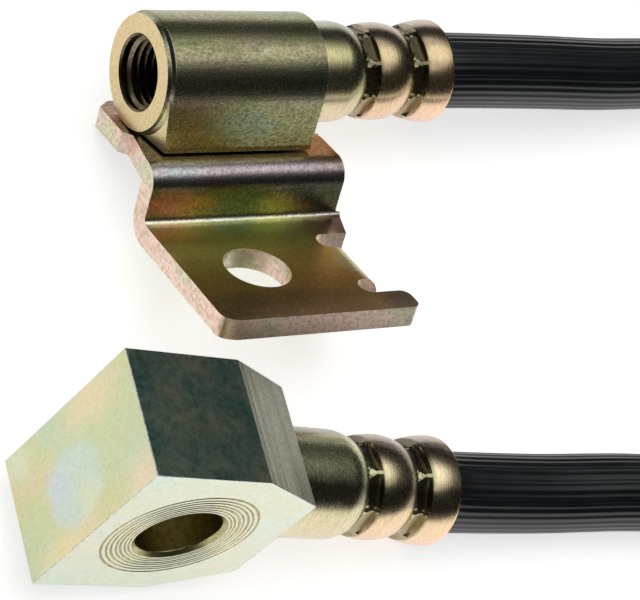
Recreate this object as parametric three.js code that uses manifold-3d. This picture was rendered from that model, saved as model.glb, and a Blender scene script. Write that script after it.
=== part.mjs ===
// Brake line: a bracketed inlet fitting and a banjo block on the two ends of one rubber hose.
// Millimetres, +Z up. The line lies as it rests, with the floor at Z = 0.
// Each end fitting is built in its own frame, with its hose axis along +X from the outer face.

import * as THREE from 'three';
import { mergeVertices } from 'three/addons/utils/BufferGeometryUtils.js';
import Module from 'manifold-3d';

const wasm = await Module();
wasm.setup();

// Fits between assembled pieces
const clearance = 0.3;

// Hose
const hoseDiameter = 10.3;
const hoseBore = 3.2;

// Inlet body, a D-section bar with a raised port face
const bodyRadius = 7.8;
const bodyBase = 7.2;
const bodyLength = 22.7;
const bodyChamfer = 0.6;
const bossRadius = 7.2;
const bossHeight = 0.75;
const portRadius = 4.3;
const portDepth = 12.5;
const portCountersink = 0.55;
const seatConeHeight = 1.8;
const seatTipRadius = 1.5;
const passageRadius = 1.2;

// Inlet bracket, a stamped and joggled sheet under the body
const sheetThickness = 2.85;
const bracketWidth = 28.7;
const bracketOverhang = 1.2;
const upperFlangeRight = 28.3;
const upperFlangeReach = 6.2;
const farEdgeRight = -3.3;
const farCutX = 14;
const farCutY = 6.06;
const farCornerRound = 1.1;
const stepDepth = 1.1;
const stepNear = -2.7;
const stripInset = 2.1;
const joggleStart = 8.8;
const joggleDrop = 7.4;
const outerBend = 2.8;
const innerBend = 0.8;
const sharpBend = 0.3;
const lowerFlangeReach = 33.6;
const boltHoleRadius = 4.35;
const boltHoleX = 9.2;
const boltHoleY = 22.8;
const cornerCut = 1.8;
const reliefRadius = 1.5;
const reliefDepth = 6.3;
const tabWidth = 7.6;
const tabDrop = 6;
const tabInnerBend = 0.2;
const fingerWidth = 3.8;
const fingerRound = 1.3;

// Banjo block
const blockWidth = 26.4;
const blockThickness = 15.7;
const blockSquare = 15.4;
const blockLength = 25.3;
const blockNose = 16.8;
const boltBoreRadius = 5.1;
const boltBoreX = 11.75;
const boreChamfer = 0.5;
const ferruleSocket = 1.2;

// Crimped ferrules: a dome, two narrow grooves with a bulge between them, and a flared lip
const ferruleRadius = 6.65;
const ferruleWall = 1.15;
const ferruleEdge = 0.4;
const grooveRadius = 5.6;
const groovePitch = 7.7;
const bulgeRadius = 6.5;
const bulgePeak = 3.1;
const lipRadius = 6.9;
const lipPeak = 4.3;
const lipLength = 4.6;
const rimRadius = 6.7;
const endWall = 1.8;
const inletBarrel = 8.6;
const blockBarrel = 15;

// Flat pockets that the crimping dies leave on the lip side of each groove
const dieCount = 8;
const dieFlat = 5.4;
const dieLength = 2.2;
const dieWallRun = 0.1;
const ridgeTopAngle = 4.5;
const ridgeFootAngle = 7.2;
const inletDieTurn = 0;
const blockDieTurn = 26.6;

// The squeezed bore behind the grooves
const pressedRadius = 4.35;
const pressedBefore = 0.4;
const pressedAfter = 2.4;
const pressedRamp = 2.6;
const mouthRamp = 1.7;

// Stems inside the ferrules
const stemRadius = 2.1;
const stemBore = 2.2;
const stemReach = 2.8;
const collarRadius = 2.8;
const socketDepth = 3;
const barbCount = 4;
const barbPitch = 2.6;
const barbLength = 1.5;
const barbHeight = 0.35;
const barbLead = 2;

// How far the hose's round end starts inside a ferrule, and how far it leaves it straight
const hoseInset = 0.4;
const hoseLead = 4;
const hoseEndGap = 0.3;

// Where the two ends lie, and how each is turned about its own hose axis and tilted
const inletPlace = { x: -8.75, y: 28.1, heading: 0, pitch: 2, roll: -32.3 };
const blockPlace = { x: -32.85, y: -23.5, heading: -6.3, pitch: 10.6, roll: -7.3 };

// Hose route between its two ferrules, along its centre
const hoseRoute = [
  [54.05, 28.1, 9.7],
  [70.45, 28.1, 8.3],
  [86.75, 29.5, 6.8],
  [102.15, 35.0, 5.7],
  [118.25, 36.6, 5.3],
  [134.05, 32.5, 5.2],
  [147.55, 23.4, 5.2],
  [157.05, 10.1, 5.2],
  [161.35, -5.5, 5.2],
  [160.15, -21.8, 5.2],
  [153.55, -36.6, 5.2],
  [142.15, -48.3, 5.2],
  [127.55, -55.4, 5.2],
  [111.35, -57.1, 5.2],
  [95.55, -53.1, 5.2],
  [82.05, -44.1, 5.2],
  [67.85, -36.1, 5.2],
  [51.85, -33.0, 5.2],
  [35.55, -31.1, 5.3]
];

// Smoothness of the turned and swept faces
const turnedSides = 40;
const boreSides = 24;
const hoseSides = 12;
const hoseSteps = 34;
const dieSteps = 6;
const domeShares = [0, 0.4, 0.65, 0.85];
const flankShares = [0, 0.25, 0.5];
const stemSides = 16;

// How far a cutting form runs past the face that it cuts
const overrun = 1;

// Values worked out from the ones above
const rearFace = bossHeight + bodyLength;
const sheetTop = -(bodyBase + clearance);
const lowerTop = sheetTop - joggleDrop;
const bracketRight = bracketWidth - bracketOverhang;
const hoseRadius = hoseDiameter / 2;
const ferruleStart = { inlet: rearFace + clearance, block: blockLength - ferruleSocket + clearance };

const steel = (name, color, roughness) =>
  new THREE.MeshStandardMaterial({ name, color, roughness, metalness: 0.85 });
const materials = {
  body: steel('passivated_body', 0x8f8a5c, 0.4),
  bracket: steel('passivated_sheet', 0x7d6c4c, 0.42),
  ferrule: steel('passivated_ferrule', 0xb7a273, 0.35),
  block: steel('passivated_block', 0xc5c39a, 0.4),
  stem: steel('plain_steel', 0x9a9a98, 0.35),
  hose: new THREE.MeshStandardMaterial({ name: 'ribbed_rubber', color: 0x17181a, roughness: 0.6 })
};

// Turns a closed three.js geometry into a solid, with its faces pointing out
function solid(geometry) {
  const bare = geometry.index ? geometry.clone() : mergeVertices(geometry.clone());
  bare.deleteAttribute('normal');
  bare.deleteAttribute('uv');
  const merged = mergeVertices(bare, 1e-4);
  const points = merged.attributes.position.array;
  const corners = merged.index.array;
  const at = (i) => new THREE.Vector3().fromArray(points, 3 * i);
  const faces = [];
  let volume = 0;
  for (let i = 0; i < corners.length; i += 3) {
    const [a, b, c] = corners.slice(i, i + 3);
    if (a === b || b === c || c === a) continue;
    faces.push([a, b, c]);
    volume += at(a).dot(at(b).cross(at(c)));
  }
  const triVerts = new Uint32Array(faces.flatMap(([a, b, c]) => (volume > 0 ? [a, b, c] : [a, c, b])));
  const mesh = new wasm.Mesh({ numProp: 3, vertProperties: new Float32Array(points), triVerts });
  return new wasm.Manifold(mesh);
}

// Gives a solid back as a three.js geometry
function shapeOf(manifold) {
  const { vertProperties, triVerts } = manifold.getMesh();
  const geometry = new THREE.BufferGeometry();
  geometry.setAttribute('position', new THREE.BufferAttribute(new Float32Array(vertProperties), 3));
  geometry.setIndex(new THREE.BufferAttribute(new Uint32Array(triVerts), 1));
  geometry.computeVertexNormals();
  return geometry;
}

// A turned form about the hose axis, from points [x, radius]
function turned(points, sides = turnedSides) {
  const outline = points.map(([x, r]) => new THREE.Vector2(r, x));
  return new THREE.LatheGeometry(outline, sides).rotateZ(-Math.PI / 2);
}

// A turned form that is solid to the axis
function turnedBar(points, sides) {
  return turned([[points[0][0], 0], ...points, [points.at(-1)[0], 0]], sides);
}

// A turned ring, from its outer outline and its inner outline, both running along +X
function turnedRing(outer, inner, sides) {
  return turned([...outer, ...inner.toReversed(), outer[0]], sides);
}

// An outline in the Y-Z plane, pushed along X
function alongX(shape, start, depth) {
  const geometry = new THREE.ExtrudeGeometry(shape, { depth, bevelEnabled: false, curveSegments: 8 });
  const axes = new THREE.Matrix4().makeBasis(
    new THREE.Vector3(0, 1, 0), new THREE.Vector3(0, 0, 1), new THREE.Vector3(1, 0, 0));
  return geometry.applyMatrix4(axes).translate(start, 0, 0);
}

// An outline in the X-Y plane, pushed up along Z
function alongZ(shape, start, depth) {
  const options = { depth, bevelEnabled: false, curveSegments: 8 };
  return new THREE.ExtrudeGeometry(shape, options).translate(0, 0, start);
}

// An outline in the X-Z plane, pushed along Y about the middle plane
function acrossY(shape, centre, depth) {
  const options = { depth, bevelEnabled: false, curveSegments: 8 };
  return new THREE.ExtrudeGeometry(shape, options)
    .translate(0, 0, -depth / 2).rotateX(Math.PI / 2).translate(0, centre, 0);
}

function polygon(points) {
  return new THREE.Shape(points.map(([a, b]) => new THREE.Vector2(a, b)));
}

// Where a ferrule's two grooves are along its axis
function groovesOf(start, barrel) {
  return [start + barrel, start + barrel + groovePitch];
}

// The dome that falls into a groove, then the flank that climbs out of it to the next crest
function crimp(groove, fromCrest, toCrest, peak) {
  const run = groovePitch - bulgePeak;
  const dome = domeShares.map((share) =>
    [groove - run * (1 - share), fromCrest - (fromCrest - grooveRadius) * share ** 2]);
  const steps = [...flankShares.map((share) => share * dieLength), dieLength - dieWallRun, dieLength, peak];
  const flank = steps.map((step) =>
    [groove + step, toCrest - (toCrest - grooveRadius) * (1 - step / peak) ** 2]);
  return [...dome, ...flank];
}

// The outer face of a ferrule's crimped stretch
function crimpOutline(start, barrel) {
  const [first, second] = groovesOf(start, barrel);
  return [
    ...crimp(first, ferruleRadius, bulgeRadius, bulgePeak),
    ...crimp(second, bulgeRadius, lipRadius, lipPeak).slice(1),
    [second + lipLength, rimRadius]
  ];
}

// The bore of a ferrule, squeezed behind each groove, drawn in by a further gap
function liningOutline(start, barrel, gap) {
  const [first, second] = groovesOf(start, barrel);
  const wide = ferruleRadius - ferruleWall - gap;
  const pressed = pressedRadius - gap;
  const between = (first + pressedAfter + second - pressedBefore) / 2;
  return [
    [start + endWall + gap, wide],
    [first - pressedBefore - pressedRamp, wide],
    [first - pressedBefore, pressed], [first + pressedAfter, pressed],
    [between, bulgeRadius - ferruleWall - gap],
    [second - pressedBefore, pressed], [second + pressedAfter, pressed],
    [second + pressedAfter + mouthRamp, hoseRadius + clearance - gap]
  ];
}

// Presses the die pockets into a turned ferrule, and gathers its columns at the ridges between them
function pressDies(geometry, start, barrel) {
  const position = geometry.attributes.position;
  const pocket = (2 * Math.PI) / dieCount;
  const columns = [0, ridgeTopAngle, ridgeFootAngle].map(THREE.MathUtils.degToRad);
  columns.push(pocket / 2);
  const slack = dieWallRun / 4;
  for (let i = 0; i < position.count; i += 1) {
    const x = position.getX(i);
    const radius = Math.hypot(position.getY(i), position.getZ(i));
    const past = groovesOf(start, barrel).map((groove) => x - groove)
      .find((step) => step > -slack && step < dieLength + slack);
    if (past === undefined || radius < grooveRadius - slack) continue;
    const angle = Math.atan2(position.getZ(i), position.getY(i));
    const ridge = Math.round(angle / pocket) * pocket;
    const column = Math.round(((angle - ridge) / pocket) * dieSteps);
    const offset = columns[Math.abs(column)];
    const turn = ridge + Math.sign(column) * offset;
    const inPocket = offset > columns[1] && past < dieLength - slack;
    const reach = inPocket ? dieFlat / Math.cos(pocket / 2 - offset) : radius;
    position.setXYZ(i, x, reach * Math.cos(turn), reach * Math.sin(turn));
  }
  return geometry;
}

function ferrule(start, barrel, dieTurn) {
  const bore = stemRadius + clearance;
  const outer = [[start, ferruleRadius - ferruleEdge], [start + ferruleEdge, ferruleRadius],
    ...crimpOutline(start, barrel)];
  const rim = outer.at(-1)[0];
  const inner = [[start, bore], [start + endWall, bore], ...liningOutline(start, barrel, 0),
    [rim, hoseRadius + clearance]];
  const ring = pressDies(turnedRing(outer, inner, dieCount * dieSteps), start, barrel);
  return shapeOf(solid(ring.rotateX(THREE.MathUtils.degToRad(dieTurn))));
}

// A tube with a collar that seats in the fitting and barbs that hold the hose
function stem(start, barrel) {
  const [first, second] = groovesOf(start, barrel);
  const tip = second + stemReach;
  const barbs = [];
  for (let i = 0; i < barbCount; i += 1) {
    const at = first - barbLead + i * barbPitch;
    barbs.push([at, stemRadius], [at, stemRadius + barbHeight], [at + barbLength, stemRadius]);
  }
  const seat = start - socketDepth;
  const shoulder = start - 2 * clearance;
  const outer = [[seat, collarRadius], [shoulder, collarRadius], [shoulder, stemRadius],
    ...barbs, [tip - barbHeight, stemRadius], [tip, stemRadius - barbHeight]];
  const inner = [[seat, stemBore / 2], [tip, stemBore / 2]];
  return shapeOf(solid(turnedRing(outer, inner, stemSides)));
}

function inletBody() {
  const front = bossHeight;
  const barrel = solid(turnedBar([
    [0, bossRadius], [front, bossRadius], [front, bodyRadius - bodyChamfer],
    [front + bodyChamfer, bodyRadius], [rearFace, bodyRadius]
  ]));
  const foot = polygon([
    [-bodyRadius, 0], [-bodyRadius, -bodyBase], [bodyRadius, -bodyBase], [bodyRadius, 0]
  ]);
  const port = solid(turnedBar([
    [-overrun, portRadius + portCountersink], [0, portRadius + portCountersink],
    [portCountersink, portRadius], [portDepth, portRadius]
  ], turnedSides));
  const seat = solid(turnedBar([
    [portDepth - seatConeHeight, seatTipRadius],
    [portDepth + overrun, seatTipRadius + seatConeHeight + overrun]
  ], boreSides));
  const passage = solid(turnedBar([[0, passageRadius], [rearFace, passageRadius]], boreSides));
  const socket = solid(turnedBar([
    [rearFace - socketDepth - clearance, collarRadius + clearance],
    [rearFace + overrun, collarRadius + clearance]
  ], boreSides));
  const envelope = polygon([
    [-bodyRadius, -bodyBase], [bodyRadius, -bodyBase], [bodyRadius, bodyRadius], [-bodyRadius, bodyRadius]
  ]);
  const blank = barrel.add(solid(alongX(foot, front, bodyLength)));
  const flatBased = blank.intersect(solid(alongX(envelope, 0, rearFace)));
  return shapeOf(flatBased.subtract(port).add(seat).subtract(passage).subtract(socket));
}

// The joggled side view of the bracket: upper flange, step and lower flange
function bracketProfile() {
  const bottom = sheetTop - sheetThickness;
  const webFace = -(joggleStart + outerBend);
  const webBack = webFace + sheetThickness;
  const lowerBend = { y: webFace - innerBend, z: lowerTop + innerBend };
  const shape = new THREE.Shape();
  shape.moveTo(upperFlangeReach, sheetTop);
  shape.lineTo(-joggleStart, sheetTop);
  shape.absarc(-joggleStart, sheetTop - outerBend, outerBend, Math.PI / 2, Math.PI, false);
  shape.absarc(lowerBend.y, lowerBend.z, innerBend, 0, -Math.PI / 2, true);
  shape.lineTo(-lowerFlangeReach, lowerTop);
  shape.lineTo(-lowerFlangeReach, lowerTop - sheetThickness);
  shape.absarc(lowerBend.y, lowerBend.z, innerBend + sheetThickness, -Math.PI / 2, 0, false);
  shape.absarc(webBack + sharpBend, bottom - sharpBend, sharpBend, Math.PI, Math.PI / 2, true);
  shape.lineTo(upperFlangeReach, bottom);
  return shape;
}

// The plan view of the bracket: cut corners, a stepped left edge, two reliefs and the finger
function bracketPlan() {
  const left = -bracketOverhang;
  const right = bracketRight;
  const near = -lowerFlangeReach;
  const tabNear = near + fingerWidth + 2 * reliefRadius;
  const tabFar = tabNear + tabWidth;
  const reliefCentre = right - reliefDepth + reliefRadius;
  const nearRelief = tabNear - reliefRadius;
  const farRelief = tabFar + reliefRadius;
  const tabRoot = reliefCentre + outerBend;
  const corner = upperFlangeRight - farCornerRound;
  const shape = new THREE.Shape();
  shape.moveTo(left, near + 0.5 * cornerCut);
  shape.lineTo(left + cornerCut, near);
  shape.lineTo(right - fingerRound, near);
  shape.absarc(right - fingerRound, near + fingerRound, fingerRound, -Math.PI / 2, 0, false);
  shape.absarc(right - fingerRound, near + fingerWidth - fingerRound, fingerRound, 0, Math.PI / 2, false);
  shape.absarc(reliefCentre, nearRelief, reliefRadius, -Math.PI / 2, -1.5 * Math.PI, true);
  shape.lineTo(tabRoot, tabNear);
  shape.lineTo(tabRoot, tabFar);
  shape.absarc(reliefCentre, farRelief, reliefRadius, -Math.PI / 2, -1.5 * Math.PI, true);
  shape.lineTo(upperFlangeRight - stripInset, farRelief + reliefRadius);
  shape.lineTo(upperFlangeRight, -joggleStart - outerBend);
  shape.absarc(corner, farEdgeRight - farCornerRound, farCornerRound, 0, Math.PI / 2, false);
  shape.lineTo(farCutX, farCutY);
  shape.lineTo(left + cornerCut, upperFlangeReach);
  shape.lineTo(left, upperFlangeReach - 0.8 * cornerCut);
  shape.lineTo(left, stepNear + stepDepth);
  shape.lineTo(left + stepDepth, stepNear);
  shape.lineTo(left, -joggleStart);
  return { shape, tabNear, tabFar, bendStart: reliefCentre };
}

// The tab that is bent down between the two reliefs, seen from the side
function tabProfile(bendStart) {
  const centre = lowerTop - outerBend;
  const outerFace = bendStart + outerBend;
  const foot = lowerTop - tabDrop;
  const shape = new THREE.Shape();
  shape.moveTo(bendStart - overrun, lowerTop);
  shape.lineTo(bendStart - overrun, lowerTop - sheetThickness);
  shape.lineTo(bendStart, lowerTop - sheetThickness);
  shape.lineTo(outerFace - sheetThickness, lowerTop - sheetThickness - tabInnerBend);
  shape.lineTo(outerFace - sheetThickness, foot);
  shape.lineTo(outerFace, foot);
  shape.absarc(bendStart, centre, outerBend, 0, Math.PI / 2, false);
  return shape;
}

function inletBracket() {
  const { shape, tabNear, tabFar, bendStart } = bracketPlan();
  const floor = lowerTop - sheetThickness - overrun;
  const sheet = solid(alongX(bracketProfile(), -bracketOverhang - overrun, bracketWidth + 3 * overrun));
  const outline = solid(alongZ(shape, floor, sheetTop - floor + overrun));
  const slot = polygon([
    [bendStart, tabNear], [bendStart + outerBend + overrun, tabNear],
    [bendStart + outerBend + overrun, tabFar], [bendStart, tabFar]
  ]);
  const lowerHalf = solid(alongZ(slot, floor, lowerTop + overrun - floor));
  const tab = solid(acrossY(tabProfile(bendStart), (tabNear + tabFar) / 2, tabFar - tabNear));
  const drill = new THREE.Shape().absarc(boltHoleX, -boltHoleY, boltHoleRadius, 0, 2 * Math.PI, false);
  const hole = solid(alongZ(drill, floor, lowerTop + overrun - floor));
  return shapeOf(sheet.intersect(outline).subtract(lowerHalf).add(tab).subtract(hole));
}

function banjoBlock() {
  const wide = blockWidth / 2;
  const nose = blockNose / 2;
  const outline = polygon([
    [0, -wide], [blockSquare, -wide], [blockLength, -nose],
    [blockLength, nose], [blockSquare, wide], [0, wide]
  ]);
  const top = blockThickness / 2;
  const mouth = boltBoreRadius + boreChamfer + overrun;
  const bore = solid(new THREE.LatheGeometry([
    [0, -top - overrun], [mouth, -top - overrun], [boltBoreRadius, -top + boreChamfer],
    [boltBoreRadius, top - boreChamfer], [mouth, top + overrun], [0, top + overrun]
  ].map(([r, y]) => new THREE.Vector2(r, y)), turnedSides).translate(boltBoreX, 0, 0));
  const passage = solid(turnedBar([[boltBoreX, passageRadius], [blockLength, passageRadius]], boreSides));
  const face = blockLength - ferruleSocket;
  const socket = solid(turnedBar([
    [face - socketDepth - clearance, collarRadius + clearance], [face, collarRadius + clearance],
    [face, ferruleRadius + clearance], [blockLength + overrun, ferruleRadius + clearance]
  ]));
  const blank = solid(acrossY(outline, 0, blockThickness));
  return shapeOf(blank.subtract(bore).subtract(passage).subtract(socket));
}

// The hose's end inside a ferrule, squeezed on to the stem
function clampedEnd(start, barrel) {
  const second = groovesOf(start, barrel)[1];
  const end = second + lipLength - hoseEndGap;
  const squeezed = liningOutline(start, barrel, clearance)
    .map(([x, r]) => [x, Math.min(r, hoseRadius)]);
  const outer = [...squeezed, [end, hoseRadius - clearance / 2]];
  const bore = stemRadius + barbHeight + clearance;
  const inner = [[outer[0][0], bore], [second + stemReach + clearance, bore], [end, hoseBore / 2]];
  return turnedRing(outer, inner, boreSides);
}

// A fitting's frame, turned and tilted as it lies
function frameOf({ x, y, heading, pitch, roll }) {
  const group = new THREE.Group();
  const turn = THREE.MathUtils.degToRad;
  group.rotation.set(turn(roll), turn(pitch), turn(heading), 'ZYX');
  group.position.set(x, y, 0);
  return group;
}

function addPiece(group, name, geometry, material) {
  const mesh = new THREE.Mesh(geometry, material);
  mesh.name = name;
  group.add(mesh);
}

// Lowers or lifts a fitting until its lowest point is on the floor
function rest(group) {
  group.updateMatrixWorld(true);
  const box = new THREE.Box3().setFromObject(group, true);
  group.position.z -= box.min.z;
  group.updateMatrixWorld(true);
}

function inletEnd() {
  const group = frameOf(inletPlace);
  const inletFerrule = ferrule(ferruleStart.inlet, inletBarrel, inletDieTurn);
  addPiece(group, 'inlet_body', inletBody(), materials.body);
  addPiece(group, 'inlet_bracket', inletBracket(), materials.bracket);
  addPiece(group, 'inlet_ferrule', inletFerrule, materials.ferrule);
  addPiece(group, 'inlet_stem', stem(ferruleStart.inlet, inletBarrel), materials.stem);
  rest(group);
  return group;
}

function blockEnd() {
  const group = frameOf(blockPlace);
  const blockFerrule = ferrule(ferruleStart.block, blockBarrel, blockDieTurn);
  addPiece(group, 'banjo_block', banjoBlock(), materials.block);
  addPiece(group, 'block_ferrule', blockFerrule, materials.ferrule);
  addPiece(group, 'block_stem', stem(ferruleStart.block, blockBarrel), materials.stem);
  rest(group);
  return group;
}

// The hose, from inside one ferrule to inside the other
function hose(inlet, block) {
  const ends = [[inlet, ferruleStart.inlet, inletBarrel], [block, ferruleStart.block, blockBarrel]];
  const [leadIn, leadOut] = ends.map(([group, start, barrel]) => {
    const rim = groovesOf(start, barrel)[1] + lipLength;
    return [rim - hoseInset, rim + hoseLead]
      .map((x) => new THREE.Vector3(x, 0, 0).applyMatrix4(group.matrixWorld));
  });
  const middle = hoseRoute.map((point) => new THREE.Vector3(...point));
  const extrudePath = new THREE.CatmullRomCurve3([...leadIn, ...middle, leadOut[1], leadOut[0]]);
  const ring = (radius) => new THREE.Path().setFromPoints(
    Array.from({ length: hoseSides }, (_, i) => new THREE.Vector2(radius, 0)
      .rotateAround(new THREE.Vector2(), (2 * Math.PI * i) / hoseSides)));
  const section = new THREE.Shape(ring(hoseRadius).getPoints());
  section.holes.push(ring(hoseBore / 2));
  const tube = solid(new THREE.ExtrudeGeometry(section, { steps: hoseSteps, extrudePath }));
  const clamped = ends.map(([group, start, barrel]) =>
    solid(clampedEnd(start, barrel).applyMatrix4(group.matrixWorld)));
  return shapeOf(clamped.reduce((whole, end) => whole.add(end), tube));
}

const brakeLine = new THREE.Group();
const inlet = inletEnd();
const block = blockEnd();
brakeLine.add(inlet, block);
addPiece(brakeLine, 'brake_hose', hose(inlet, block), materials.hose);

export default brakeLine;
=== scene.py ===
import math
import bmesh
import bpy
from mathutils import Euler, Matrix, Vector


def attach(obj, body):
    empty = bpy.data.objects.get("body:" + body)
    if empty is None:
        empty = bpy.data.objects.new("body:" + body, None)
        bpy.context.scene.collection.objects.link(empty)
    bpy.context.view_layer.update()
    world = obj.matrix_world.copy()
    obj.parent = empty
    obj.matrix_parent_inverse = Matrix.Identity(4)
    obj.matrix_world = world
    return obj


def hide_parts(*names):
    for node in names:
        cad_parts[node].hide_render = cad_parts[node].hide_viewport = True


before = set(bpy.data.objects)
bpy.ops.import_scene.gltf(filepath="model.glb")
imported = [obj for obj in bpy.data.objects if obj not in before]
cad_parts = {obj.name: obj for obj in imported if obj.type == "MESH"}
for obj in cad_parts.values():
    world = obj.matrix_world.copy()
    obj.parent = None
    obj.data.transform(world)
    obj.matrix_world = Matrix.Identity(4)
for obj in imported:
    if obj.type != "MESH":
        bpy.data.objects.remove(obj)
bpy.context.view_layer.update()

mm = 0.001
print("frame loaded")

# The camera stands where the photograph was taken from
camera = {
    "place": (-0.14388, -0.09347, 0.23718),
    "right": (0.84422, -0.27738, 0.45864),
    "up": (0.07542, 0.90864, 0.41072),
    "lens": 129.375,
    "sensor": 36.0,
    "clip": (0.01, 20.0),
}


def addCamera():
    data = bpy.data.cameras.new("photoCamera")
    data.lens = camera["lens"]
    data.sensor_width = camera["sensor"]
    data.clip_start, data.clip_end = camera["clip"]
    right = Vector(camera["right"]).normalized()
    back = right.cross(Vector(camera["up"])).normalized()
    turn = Matrix((right, back.cross(right), back)).transposed().to_4x4()
    holder = bpy.data.objects.new("photoCamera", data)
    holder.matrix_world = Matrix.Translation(camera["place"]) @ turn
    bpy.context.scene.collection.objects.link(holder)
    bpy.context.scene.camera = holder


addCamera()

# Where the two metal ends lie: millimetres and degrees, with the hose axis along each end's own +X.
# "up" is the camera's upward direction, in the end's own frame; the painted highlight and shade bands lie
# along it
inletEnd = {"place": (-8.75, 28.1, 12.468), "heading": 0.0, "pitch": 2.0, "roll": -32.3,
            "start": 23.75, "barrel": 7.5, "bulgePeak": 4.2, "lipPeak": 5.4, "dieTurn": 7.0,
            "up": (0.0, 0.548, 0.834)}
blockEnd = {"place": (-32.85, -23.5, 16.683), "heading": -6.3, "pitch": 10.6, "roll": -7.3,
            "start": 24.4, "barrel": 13.6, "bulgePeak": 4.4, "lipPeak": 5.7, "dieTurn": 12.1,
            "up": (0.0, 0.858, 0.513)}


def turnOf(end):
    return Euler([math.radians(end[key]) for key in ("roll", "pitch", "heading")], "XYZ")


def matrixOf(end):
    return Matrix.Translation(Vector(end["place"]) * mm) @ turnOf(end).to_matrix().to_4x4()


def onAxis(end, distance):
    return matrixOf(end) @ Vector((distance * mm, 0, 0))


def activate(piece):
    bpy.ops.object.select_all(action="DESELECT")
    piece.select_set(True)
    bpy.context.view_layer.objects.active = piece


def pick(piece, kind, test):  # in edit mode, selects by place or normal
    bpy.ops.mesh.select_mode(type={"verts": "VERT", "edges": "EDGE", "faces": "FACE"}[kind])
    bpy.ops.mesh.select_all(action="DESELECT")
    mesh = bmesh.from_edit_mesh(piece.data)
    for part in getattr(mesh, kind):
        if test(part):
            part.select_set(True)
    bmesh.update_edit_mesh(piece.data)


def applyAll(piece):
    activate(piece)
    for modifier in list(piece.modifiers):
        bpy.ops.object.modifier_apply(modifier=modifier.name)


def place(piece, end):  # moves a finished piece from its end's own frame to where it lies
    activate(piece)
    piece.matrix_world = matrixOf(end)
    bpy.ops.object.transform_apply(location=True, rotation=True, scale=True)


def drawProfile(name, points, turn=0.0):  # points [x, radius] in mm, about the hose axis
    bpy.ops.object.select_all(action="DESELECT")
    bpy.ops.mesh.primitive_plane_add(size=mm)
    piece = bpy.context.object
    piece.name = name
    spots = [Vector((x, radius * math.sin(turn), radius * math.cos(turn))) * mm for x, radius in points]
    bpy.ops.object.mode_set(mode="EDIT")
    bpy.ops.mesh.select_mode(type="VERT")
    bpy.ops.mesh.merge(type="CENTER")
    bpy.ops.transform.translate(value=spots[0])
    for here, there in zip(spots, spots[1:]):
        bpy.ops.mesh.extrude_region_move(TRANSFORM_OT_translate={"value": there - here})
    bpy.ops.mesh.select_all(action="SELECT")
    bpy.ops.mesh.remove_doubles(threshold=0.001 * mm)
    bpy.ops.mesh.select_all(action="SELECT")
    return piece


def closeTurned():  # in edit mode
    bpy.ops.mesh.select_all(action="SELECT")
    bpy.ops.mesh.remove_doubles(threshold=0.002 * mm)
    bpy.ops.mesh.normals_make_consistent(inside=False)
    bpy.ops.object.mode_set(mode="OBJECT")


def turned(name, points):  # a full turn about the hose axis
    piece = drawProfile(name, points)
    bpy.ops.mesh.spin(steps=96, angle=2 * math.pi, center=(0, 0, 0), axis=(1, 0, 0))
    closeTurned()
    return piece


def mergeFlats(piece, doubles=None):  # merges corners closer than so many mm, and flat neighbours
    activate(piece)
    bpy.ops.object.mode_set(mode="EDIT")
    bpy.ops.mesh.select_all(action="SELECT")
    if doubles:
        bpy.ops.mesh.remove_doubles(threshold=doubles * mm)
    bpy.ops.mesh.dissolve_limited(angle_limit=math.radians(0.6))
    bpy.ops.object.mode_set(mode="OBJECT")


def copyOf(node, name, end):  # a merged copy of a CAD node, in its end's own frame
    piece = bpy.data.objects.new(name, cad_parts[node].data.copy())
    bpy.context.scene.collection.objects.link(piece)
    piece.data.materials.clear()
    piece.data.transform(matrixOf(end).inverted())
    mergeFlats(piece, 0.002)
    return piece


def roundEdges(piece, width, slot, segments=3):  # the new faces get the material in that slot
    bevel = piece.modifiers.new("roundedEdges", "BEVEL")
    bevel.width = width * mm
    bevel.segments = segments
    bevel.limit_method = "ANGLE"
    bevel.angle_limit = math.radians(38)
    bevel.material = slot
    applyAll(piece)


def cut(piece, cutter, kind="DIFFERENCE"):
    hole = piece.modifiers.new("cut", "BOOLEAN")
    hole.operation = kind
    hole.solver = "EXACT"
    hole.object = cutter
    applyAll(piece)
    bpy.data.objects.remove(cutter)


def smooth(piece, angle=32, flats=None):  # a face over so many square millimetres is kept flat
    activate(piece)
    bpy.ops.object.shade_smooth_by_angle(angle=math.radians(angle))
    if flats:
        bpy.ops.object.mode_set(mode="EDIT")
        pick(piece, "faces", lambda f: f.calc_area() > flats * mm * mm
             or max(map(abs, f.normal)) > 0.9999 and f.calc_area() > mm * mm)
        bpy.ops.mesh.faces_shade_flat()
        bpy.ops.object.mode_set(mode="OBJECT")
    piece.data.transform(Matrix.Scale(1 / mm, 4))  # in metres these faces are too small to be weighed
    settle = piece.modifiers.new("flatFaces", "WEIGHTED_NORMAL")
    settle.keep_sharp = True
    settle.weight = 50
    applyAll(piece)
    piece.data.transform(Matrix.Scale(mm, 4))


def finishPiece(piece, end, slot, *nodes):
    place(piece, end)
    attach(piece, "root")
    if nodes:
        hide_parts(*nodes)
    print("made", piece.name)


# Plating: each finish is a set of tones, bands, spots, grain, tool lines and a roughness, in an end's
# own frame. These values are shared by all the finishes
patina = {
    "stirScale": 330,
    "stirReach": 2.4,  # how far the spots' outlines wander
    "darkGrain": (0.34, 0.54),
    "paleGrain": (0.56, 0.7),
    "paleTint": (0.75, 0.76, 0.7),
    "noiseRange": (0.3, 0.7),
    "rougher": 0.05,
    "smoother": 0.04,
    "reliefDepth": 0.03,
    "bandScale": 220,
}


def addNode(tree, kind, inputs=None, **settings):
    node = tree.nodes.new(kind)
    for key, value in settings.items():
        setattr(node, key, value)
    for key, value in (inputs or {}).items():
        if isinstance(value, bpy.types.NodeSocket):
            tree.links.new(value, node.inputs[key])
        else:
            node.inputs[key].default_value = value
    return node


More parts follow.
